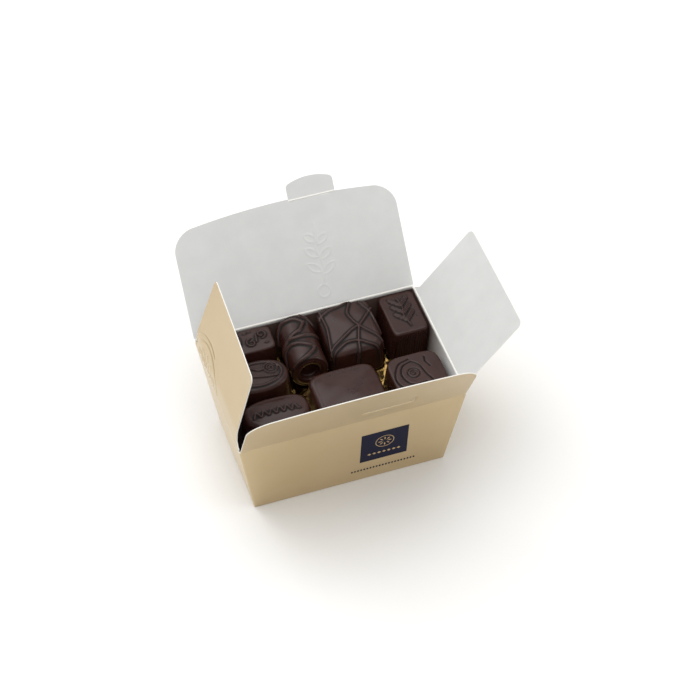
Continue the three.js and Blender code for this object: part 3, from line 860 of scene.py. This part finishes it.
# Gold foil
# A sheet of thin gold-lacquered foil lies between the layers, loosely laid and crumpled by the
# pralines that stand on it.
FOIL_BASE = 35
FOIL_THICKNESS = 0.12
FOIL_COLOUR = "c4a262"
FOIL_FACET = 4.5
FOIL_CELL = 0.6
FOIL_DRAWN_IN = 9
PLEAT_SIZES = (17, 11, 7, 4.6, 3)
PLEATS_OF_A_SIZE = 5
PLEAT_HEIGHT = 0.55


def crumpled_gold_foil():
    """Gold-lacquered foil: mirror-like facets between sharp creases."""
    made, tree = new_material("crumpled_gold_foil")
    place = add_node(tree, "ShaderNodeTexCoord").outputs["Object"]
    facets = add_node(
        tree, "ShaderNodeTexVoronoi", {"feature": "DISTANCE_TO_EDGE", "Scale": 1000 / FOIL_FACET},
        {"Vector": place},
    )
    bump = add_node(
        tree, "ShaderNodeBump", {"Strength": 0.6, "Distance": 0.5 * MM}, {"Height": facets.outputs[0]}
    )
    shader = add_node(
        tree, "ShaderNodeBsdfPrincipled",
        {"Base Color": linear(FOIL_COLOUR), "Metallic": 1.0, "Roughness": 0.08}, {"Normal": bump.outputs[0]},
    )
    return surfaced(made, shader)


low, high = [np.array(corner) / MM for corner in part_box("gold_sheet")]
low[:2] += FOIL_DRAWN_IN
foil_x = np.linspace(low[0], high[0], round((high[0] - low[0]) / FOIL_CELL) + 1)
foil_y = np.linspace(low[1], high[1], round((high[1] - low[1]) / FOIL_CELL) + 1)
gx, gy = np.meshgrid(foil_x, foil_y)
draw = np.random.default_rng(31)
pleats = np.zeros_like(gx)
for size in PLEAT_SIZES:
    for fold in range(PLEATS_OF_A_SIZE):
        angle, phase = draw.uniform(0, 2 * math.pi, 2)
        wave = (gx * math.cos(angle) + gy * math.sin(angle)) / size + phase
        pleats += (1 - 2 * np.abs(wave - np.round(wave))) ** 3 * size
top = FOIL_BASE + PLEAT_HEIGHT * pleats / pleats.max()
foil_points = np.concatenate([
    np.stack([gx, gy, top], -1).reshape(-1, 3),
    np.stack([gx, gy, top - FOIL_THICKNESS], -1).reshape(-1, 3),
])
top_side, under_side, edge = sheet_quads(*gx.shape)
foil = make_piece(
    "gold_foil", foil_points, [(top_side, 0), (under_side, 0), (edge, 0)], [crumpled_gold_foil()]
)
stand_for(foil, "gold_sheet", "tray")


# Chocolate
# Tempered dark chocolate, cast in polished polycarbonate moulds or dipped by hand. It sets with a
# satin gloss that is a little duller on open faces. Its colour is darker in the hollows of its relief as
# painted shade, and lighter on the crests, partly as wear and partly as painted highlight.
CHOCOLATE_WORN = "3c2019"
# Crest colour: partly wear, partly painted highlight
CHOCOLATE_CREST_WEAR_AND_HIGHLIGHT = "37211b"
HANDLING_CLOUD = 7
MOULD_DIMPLE = 0.9


def tempered_dark_chocolate():
    """Near-black brown with a satin gloss, clouded by handling, duller in its hollows and darker there as
    painted shade, and lighter on crests, partly wear and partly painted highlight.
    """
    made, tree = new_material("tempered_dark_chocolate")
    place = add_node(tree, "ShaderNodeTexCoord").outputs["Object"]
    hollow = add_node(tree, "ShaderNodeAttribute", {"attribute_name": "hollow"})
    cloud = add_node(
        tree, "ShaderNodeTexNoise", {"Scale": 1000 / HANDLING_CLOUD, "Detail": 4.0}, {"Vector": place}
    )
    dimple = add_node(
        tree, "ShaderNodeTexNoise", {"Scale": 1000 / MOULD_DIMPLE, "Detail": 3.0}, {"Vector": place}
    )
    handled = add_node(
        tree, "ShaderNodeMixRGB", {"Color1": linear(CHOCOLATE_BODY), "Color2": linear(CHOCOLATE_WORN)},
        {"Fac": cloud.outputs[0]},
    )
    # Painted shade: points below their surroundings are coloured towards the near-black shade brown.
    depth = add_node(
        tree, "ShaderNodeMapRange", {"From Min": 0.02, "From Max": 0.16}, {"Value": hollow.outputs["Fac"]}
    )
    # Raised crests are coloured lighter, partly as wear and partly as painted highlight.
    crest = add_node(
        tree, "ShaderNodeMapRange", {"From Min": -0.02, "From Max": -0.3}, {"Value": hollow.outputs["Fac"]}
    )
    painted_light_mix = add_node(
        tree, "ShaderNodeMixRGB", {"Color2": linear(CHOCOLATE_CREST_WEAR_AND_HIGHLIGHT)},
        {"Fac": crest.outputs[0], "Color1": handled.outputs[0]},
    )
    colour = add_node(
        tree, "ShaderNodeMixRGB", {"Color2": linear(CHOCOLATE_PAINTED_SHADE)},
        {"Fac": depth.outputs[0], "Color1": painted_light_mix.outputs[0]},
    )
    gloss = add_node(
        tree, "ShaderNodeMapRange", {"From Min": 0.3, "From Max": 0.7, "To Min": 0.25, "To Max": 0.38},
        {"Value": cloud.outputs[0]},
    )
    rough = add_node(
        tree, "ShaderNodeMath", {"operation": "MULTIPLY_ADD", 1: 0.35},
        {0: depth.outputs[0], 2: gloss.outputs[0]},
    )
    bump = add_node(
        tree, "ShaderNodeBump", {"Strength": 0.16, "Distance": 0.08 * MM}, {"Height": dimple.outputs[0]}
    )
    shader = add_node(
        tree, "ShaderNodeBsdfPrincipled", {"IOR": 1.46, "Specular IOR Level": 0.38},
        {"Base Color": colour.outputs[0], "Roughness": rough.outputs[0], "Normal": bump.outputs[0]},
    )
    return surfaced(made, shader)


chocolate = tempered_dark_chocolate()
TOP_BASE = 35.7
WALL_LEAN = 0.145
CELLS = 150
TOP_SHARE = 0.66
SHOULDER_SHARE = 0.18
FOOT_RADIUS = 0.5
HOLLOW_REACH = 3
WAVE_LENGTHS = (9.0, 13.0, 19.0, 27.0)


def softened(values, cells):
    """Values on a grid, each averaged with its neighbours twice."""
    for _ in range(2):
        for axis in (0, 1):
            values = sum(np.roll(values, step, axis) for step in range(-cells, cells + 1)) / (2 * cells + 1)
    return values


def keep_hollows(piece, raised):
    """Stores how far each point lies below its surroundings, for the chocolate's gloss, its painted shade in
    hollows and its lighter crests.
    """
    store = piece.data.attributes.new("hollow", "FLOAT", "POINT")
    depths = softened(raised, HOLLOW_REACH) - raised
    store.data.foreach_set("value", depths.reshape(-1).astype(np.float32))


def wobble(x, y, size, seed):
    """A slow unevenness, from a few waves with seeded directions."""
    draw = np.random.default_rng(seed)
    out = np.zeros(np.shape(x))
    for wave in WAVE_LENGTHS:
        angle, phase = draw.uniform(0, 2 * math.pi, 2)
        out = out + np.sin((x * math.cos(angle) + y * math.sin(angle)) * 2 * math.pi / wave + phase)
    return size * out / 2


def moulded_praline(name, node, relief, place, half_size, squareness, height, draft, shoulder, crown,
                    uneven, seed, lean=(0, 0), rise=0, back_shoulder=None):
    """A praline standing on its foot: a squarish outline, drafted sides and a rounded upper edge.
    lean slides its top sideways, and rise lifts the back edge of its top and lowers the front one.
    relief(a, b, side) raises the surface, a and b being places on it laid flat from the middle of the
    top, and side being the distance down from the upper edge."""
    half_x, half_y = half_size
    line = np.linspace(-1, 1, CELLS + 1)
    u, v = np.meshgrid(line, line)
    level = np.maximum(np.abs(u), np.abs(v))
    span = (np.abs(u) ** squareness + np.abs(v) ** squareness) ** (1 / squareness)
    span = np.maximum(span, 1e-9)
    out_x, out_y = u / span, v / span
    back = shoulder if back_shoulder is None else back_shoulder
    edge = shoulder + (back - shoulder) * np.clip(out_y, 0, 1) ** 2
    top = np.clip(level / TOP_SHARE, 0, 1)
    bend = np.clip((level - TOP_SHARE) / SHOULDER_SHARE, 0, 1) * math.pi / 2
    side = np.clip((level - TOP_SHARE - SHOULDER_SHARE) / (1 - TOP_SHARE - SHOULDER_SHARE), 0, 1)
    side_top = height - crown - edge
    inset = draft + edge * (1 - np.sin(bend))
    inset = inset - draft * side
    z = side_top + edge * np.cos(bend)
    z = np.where(level <= TOP_SHARE, height - crown * top ** 2, z)
    z = np.where(side > 0, side_top * (1 - side), z)
    foot = np.clip((FOOT_RADIUS - z) / FOOT_RADIUS, 0, 1)
    inset = inset + FOOT_RADIUS * (1 - np.sqrt(1 - foot ** 2)) * (side > 0)
    px = (half_x - inset) * out_x * top
    py = (half_y - inset) * out_y * top
    slope_x = np.sign(out_x) * np.abs(out_x) ** (squareness - 1) / half_x
    slope_y = np.sign(out_y) * np.abs(out_y) ** (squareness - 1) / half_y
    slope = np.maximum(np.hypot(slope_x, slope_y), 1e-9)
    past = edge * bend + side_top * side
    flat_x = (half_x - draft - edge) * out_x * top + slope_x / slope * past
    flat_y = (half_y - draft - edge) * out_y * top + slope_y / slope * past
    raised = relief(flat_x, flat_y, past)
    tilted = z * (1 + rise * py / (half_y * height))
    rows = np.stack([px + lean[0] * z, py + lean[1] * z, tilted], -1)
    normal = np.cross(np.gradient(rows, axis=1), np.gradient(rows, axis=0))
    normal /= np.maximum(np.linalg.norm(normal, axis=-1, keepdims=True), 1e-12)
    free = smooth_step(z, 0, 1.5)
    shift = (raised + wobble(flat_x, flat_y, uneven, seed) - uneven) * free
    rows = rows + normal * shift[..., None]
    rows[..., 2] = np.maximum(rows[..., 2], 0)
    points = rows.reshape(-1, 3) + np.array((*place, TOP_BASE))
    size = CELLS + 1
    underside = grid_rim(size, size)[::-1]
    praline = make_piece(
        name, points, [(grid_quads(size, size) + [underside], 0)], [chocolate], crease_angle=75
    )
    keep_hollows(praline, raised)
    stand_for(praline, node, "tray")


def strands(x, y, lines, radius, height):
    """Round strands of chocolate lying along lines."""
    out = np.zeros(np.shape(x))
    for line in lines:
        d = np.clip(distance_to(x, y, line) / radius, 0, 1)
        out = np.maximum(out, height * np.sqrt(1 - d ** 2))
    return out


# The netted praline
# A soft filling dipped by hand in dark chocolate and drizzled: strands cross its domed top from
# one knot and run down its sides. It leans back on the rear wall and stands above the rim.
def net_relief(a, b, side):
    knot = (4.5, -1.2)
    lines = [
        through([(-14, 7), (-12.7, 9.2), (-7, 12), (-1.2, 13.2), (3, 14.5)]),
        through([(4.2, 15), (3.5, 12.9), (0.9, 7.4), (2.3, 2.2), knot]),
        through([knot, (8, 2), (11.7, 5.6), (15, 8)]),
        through([(8.5, 13), (10.5, 9.2), (12.9, 5), (14.3, 0.4), (15.5, -5)]),
        through([knot, (3, -5), (1.9, -8.2), (0.3, -14.1), (-0.8, -20), (-1, -26)]),
        through([knot, (0.4, -2.6), (-3.9, -5), (-12.7, -9.8), (-18, -12)]),
        through([
            (-19, -20), (-12.6, -13.6), (-8.7, -10.6), (-3.8, -8.9), (2.1, -9.6), (7.5, -13.4), (11, -18.5),
            (13, -25),
        ]),
        through([knot, (8, -5), (12.1, -8.5), (18, -13)]),
        through([(-12.6, 12), (-12.3, 8.8), (-11.9, 0.9), (-13.4, -7), (-15.5, -16)]),
    ]
    return strands(a - 0.4, b, lines, 0.66, 0.8)


moulded_praline(
    "netted_praline", "praline_web", net_relief, place=(18.7, 21.1), half_size=(15, 14.8), squareness=6,
    height=18.9, draft=0.4, shoulder=3, crown=1, lean=(0, WALL_LEAN), rise=2.8, back_shoulder=0.8,
    uneven=0.12, seed=3,
)


# The smooth praline
# A square of filling dipped in dark chocolate and left plain. Its top has settled into two faint
# domes as it set, and it stands free between its neighbours.
def settled_relief(a, b, side):
    domes = np.exp(-((a + 7) ** 2 + (b - 2) ** 2) / 60) + np.exp(-((a - 8) ** 2 + (b - 5) ** 2) / 50)
    return 0.45 * domes


moulded_praline(
    "smooth_praline", "praline_smooth", settled_relief, place=(5.1, -15.4), half_size=(19.2, 17.4),
    squareness=5.5, height=18.1, draft=1.2, shoulder=3.2, crown=1.6, uneven=0.12, seed=5,
)


# The tall block
# Cast in a narrow mould: a raised sprig with ribbed leaves on its flat top, and fine upright ribs
# on its sides, which help it out of the mould. It leans back on the right wall.
RIB_PITCH = 1.15
RIB_HEIGHT = 0.16
LEAF_RIB_PITCH = 1.0
BLOCK_HALF = (9.8, 14.4)


def sprig_relief(a, b, side):
    stem = through([(0.8, -10), (-0.6, -3), (0.5, 3.4), (-0.4, 9.8)])
    out = strands(a, b, [stem], 0.55, 0.85)
    for foot in (-6.4, -1.2, 4.0):
        for turn, tilt in ((-1, 132), (1, 48)):
            outline = leaf_outline(turn * 0.3, foot + 0.8, tilt, 6.2, 2.9)
            middle = np.array([(turn * 0.3, foot + 0.8), outline[11]])
            blade = 1 - smooth_step(distance_to(a, b, middle), 0.9, 1.45)
            ribs = 0.2 * np.cos(2 * math.pi * (b - 0.5 * turn * a) / LEAF_RIB_PITCH)
            out = np.maximum(out, blade * (0.65 + ribs))
    on_side = smooth_step(side, 2.2, 3.6)
    around = np.where(np.abs(a) * BLOCK_HALF[1] > np.abs(b) * BLOCK_HALF[0], b, a)
    return out * (1 - on_side) + on_side * RIB_HEIGHT * np.cos(2 * math.pi * around / RIB_PITCH)


moulded_praline(
    "tall_block_praline", "praline_block", sprig_relief, place=(45.4, 21.5), half_size=BLOCK_HALF,
    squareness=9, height=18.3, draft=0.3, shoulder=1.3, crown=0.2, lean=(WALL_LEAN, WALL_LEAN),
    back_shoulder=0.9, uneven=0.04, seed=7,
)


# The scrolled slab
# Cast in a mould that leaves a low relief on its flat top: upright flutes at the left end, then
# two curls and a few beads. It stands in the back left corner, against the rear wall.
def coil(x, y, outer, inner, turns, start, count=60):
    """A spiral from its outer end inwards; start is in degrees."""
    t = np.linspace(0, 1, count)
    angle = math.radians(start) + 2 * math.pi * turns * t
    radius = outer + (inner - outer) * t
    return np.stack([x + radius * np.cos(angle), y + radius * np.sin(angle)], -1)


def scroll_relief(a, b, side):
    flutes = [np.array([(x, 7), (x + 0.4, -20)]) for x in (-11.2, -9.2, -7.4)]
    curls = [
        through([(-3.6, 4.6), (-2.2, 1.6), (-2.6, -1.6), (-4.2, -3.6)]),
        coil(3.2, -2.0, 2.7, 0.8, 1.1, 90), coil(9.2, 2.0, 2.6, 0.8, 1.1, 270),
        through([(5.9, -2.0), (6.3, 0.4), (6.6, 2.0)]),
    ]
    beads = [np.array([(x, y), (x + 0.05, y)]) for x, y in ((1.0, 4.4), (3.6, 4.8), (10.8, -3.6))]
    out = np.maximum(strands(a, b, flutes, 0.7, 0.8), strands(a, b, curls, 0.55, 0.75))
    return np.maximum(out, strands(a, b, beads, 0.75, 0.65)) * (1 - smooth_step(side, 3, 6))


moulded_praline(
    "scrolled_praline", "praline_scroll", scroll_relief, place=(-35, 28.2), half_size=(15.2, 7.6),
    squareness=7, height=18.4, draft=0.3, shoulder=1, crown=0.2, lean=(0, WALL_LEAN), rise=0.9,
    uneven=0.05, seed=11,
)


# The oval
# Cast in an oval mould: a raised rim round its top, a round medallion with a coil, and a ribbon
# that curls up to it.
def medallion_relief(a, b, side):
    rim = arc(0, 0, 12.4, 0, 360, 60, squash=0.61)
    medallion = [arc(7.4, 2.2, 3.4, 0, 360, 40), coil(7.4, 2.2, 2.4, 0.6, 1.6, 20)]
    ribbon = [
        through([(-10, 2.6), (-7, 5), (-2.6, 4.4), (0.6, 2.2), (3.8, 2.2)]),
        through([(-9, -3.4), (-4, -1.2), (0.6, -2.2), (4.8, -3), (9.4, -3.4)]),
    ]
    out = np.maximum(strands(a, b, [rim], 0.6, 0.75), strands(a, b, medallion, 0.45, 0.6))
    return np.maximum(out, strands(a, b, ribbon, 0.55, 0.7))


moulded_praline(
    "oval_praline", "praline_oval", medallion_relief, place=(-35, 8.2), half_size=(17, 11.8),
    squareness=2.3, height=17.6, draft=1.2, shoulder=2.6, crown=0.4, uneven=0.06, seed=13,
)


# The long bar
# Cast in a long pillow-shaped mould, with a raised wave along its top. It fills the front left
# corner of the box.
WAVE_LENGTH = 3.9
WAVE_HEIGHT = 1.5
WAVE_PLACE = -1.7


def wave_relief(a, b, side):
    t = np.linspace(-12.5, 11, 100)
    wave = np.stack([t, WAVE_PLACE + WAVE_HEIGHT * np.sin(t * 2 * math.pi / WAVE_LENGTH)], -1)
    return strands(a, b, [wave], 0.55, 0.75)


moulded_praline(
    "bar_praline", "praline_bar", wave_relief, place=(-32.3, -14.9), half_size=(18.1, 10.9),
    squareness=2.9, height=16.5, draft=1.2, shoulder=3, crown=1.6, uneven=0.08, seed=17,
)


# The snail
# Cast in a mould with fine raised lines, which leave grooves in its flat top: they run round a coil
# and off as a tail. It stands in the front right corner.
COIL_MIDDLE = (-2.4, -0.2)
COIL_REACH = 3.9


def grooves(x, y, lines, width, depth):
    """Narrow grooves along lines."""
    return -depth * ridges(x, y, lines, width)


def snail_relief(a, b, side):
    outer = through([(-2, 9.6), (-8, 7.4), (-11.6, 1.4), (-12, -4), (-9.4, -9.6), (-6.6, -13.4)])
    turn = through([(-1.2, 7.6), (-6.2, 5.8), (-8.6, 0.9), (-7.7, -4.4), (-4.3, -7.6), (2.3, -7.4)])
    tail = through([(-1.2, 7.6), (1.9, 3.9), (3.6, -2.8), (5.9, -8.4), (8.4, -14)])
    leaf = through([(6.2, 8.8), (5.7, 5.3), (7, 1.9)])
    out = grooves(a, b, [outer, turn, tail, leaf], 0.4, 0.7)
    x, y = COIL_MIDDLE
    ring = [arc(x, y, 3.1, 0, 360, 40), coil(x, y, 2.0, 0.4, 1.5, 0)]
    return np.where(np.hypot(a - x, b - y) < COIL_REACH, grooves(a, b, ring, 0.3, 0.5), out)


moulded_praline(
    "snail_praline", "praline_swirl", snail_relief, place=(40, -16.3), half_size=(14.6, 13.9),
    squareness=4.6, height=18, draft=0.7, shoulder=1.6, crown=0.5, lean=(0.09, 0), uneven=0.06, seed=19,
)


# The log
# A short rod of ganache dipped in dark chocolate and drizzled to and fro round it. It leans back
# on the rear wall, with its hollow end to the front.
LOG_PLACE = (-7.5, 21.4)
LOG_RADIUS = 9.9
LOG_LENGTH = 29
LOG_EDGE = 1.2
LOG_HOLLOW = 5.6
LOG_HOLLOW_DEPTH = 3
LOG_SIDES = 200
LOG_TILT = math.radians(5)
# The drizzle's loops: degrees round from the top, and mm along from the middle
DRIZZLE_LOOPS = [
    [(-90, 6), (-70, 9.6), (-47, 12), (-25, 12), (-2, 11.4), (24, 8.9)],
    [(24, 8.9), (12, 6), (1, 3.8), (-20, 2.6), (-41, 1), (-70, -2), (-95, -6)],
    [(-95, -3.6), (-70, -0.4), (-42, 1), (-13, 0.2), (12, 0.2), (37, 0.8), (70, 1.6), (95, 4)],
    [(-95, -8), (-72, -3.6), (-43, -2.4), (-17, -3.4), (2, -5), (30, -7.2)],
    [(30, -7.2), (19, -9.8), (-4, -12.6), (-29, -14), (-60, -14.4)],
    [(20, 13), (45, 11.4), (70, 9), (95, 8)],
]

front_end = -LOG_LENGTH / 2
back_end = LOG_LENGTH / 2
flat_radius = LOG_RADIUS - LOG_EDGE
hollow_floor = front_end + LOG_HOLLOW_DEPTH
edge_angles = np.linspace(0.25, math.pi / 2, 6)
# The outline as radius and place along, from the hollow's floor round to the middle of the back
profile = [(3.0, hollow_floor), (4.6, hollow_floor + 0.1)]
profile += [
    (LOG_HOLLOW - 0.6 * math.cos(a), front_end + LOG_HOLLOW_DEPTH * (1 - math.sin(a)))
    for a in np.linspace(0.2, 1.4, 8)
]
profile += [(r, front_end + 0.02 * (r - LOG_HOLLOW)) for r in np.linspace(LOG_HOLLOW + 0.3, flat_radius, 10)]
profile += [
    (LOG_RADIUS - LOG_EDGE * (1 - math.sin(a)), front_end + LOG_EDGE * (1 - math.cos(a))) for a in edge_angles
]
profile += [(LOG_RADIUS, y) for y in np.linspace(front_end + LOG_EDGE, back_end - LOG_EDGE, 105)[1:]]
profile += [
    (LOG_RADIUS - LOG_EDGE * (1 - math.cos(a)), back_end - LOG_EDGE * (1 - math.sin(a))) for a in edge_angles
]
profile += [(r, back_end) for r in np.linspace(flat_radius - 1, 0.01, 8)]
radius, length = np.array(profile).T
angle = np.linspace(0, 2 * math.pi, LOG_SIDES, endpoint=False)
r, a = np.meshgrid(radius, angle, indexing="ij")
y = np.meshgrid(length, angle, indexing="ij")[0]
across = np.where(a > math.pi, a - 2 * math.pi, a) * LOG_RADIUS
per_degree = math.radians(1) * LOG_RADIUS
drizzle = [through([(turned * per_degree, along) for turned, along in loop]) for loop in DRIZZLE_LOOPS]
skin = smooth_step(r, flat_radius, LOG_RADIUS)
raised = strands(across, y, drizzle, 1.0, 0.95) * skin + (wobble(across, y, 0.14, 23) - 0.14) * skin
lip = np.exp(-((r - (LOG_HOLLOW + 1.4)) / 0.9) ** 2) * (y < front_end + 0.5)
r = r + raised
y = y - 0.35 * lip
x, z = r * np.sin(a), LOG_RADIUS + r * np.cos(a)
y, z = y * math.cos(LOG_TILT) - z * math.sin(LOG_TILT), z * math.cos(LOG_TILT) + y * math.sin(LOG_TILT)
z = np.maximum(z + back_end * math.sin(LOG_TILT), 0)
points = np.stack([x, y + WALL_LEAN * z, z], -1).reshape(-1, 3) + np.array((*LOG_PLACE, TOP_BASE))
rings = len(radius)
last = (rings - 1) * LOG_SIDES
ends = [list(range(LOG_SIDES))[::-1], list(range(last, last + LOG_SIDES))]
log = make_piece(
    "drizzled_log_praline", points, [(grid_quads(rings, LOG_SIDES, closed=True) + ends, 0)], [chocolate],
    crease_angle=75,
)
keep_hollows(log, raised)
stand_for(log, "praline_log", "tray")
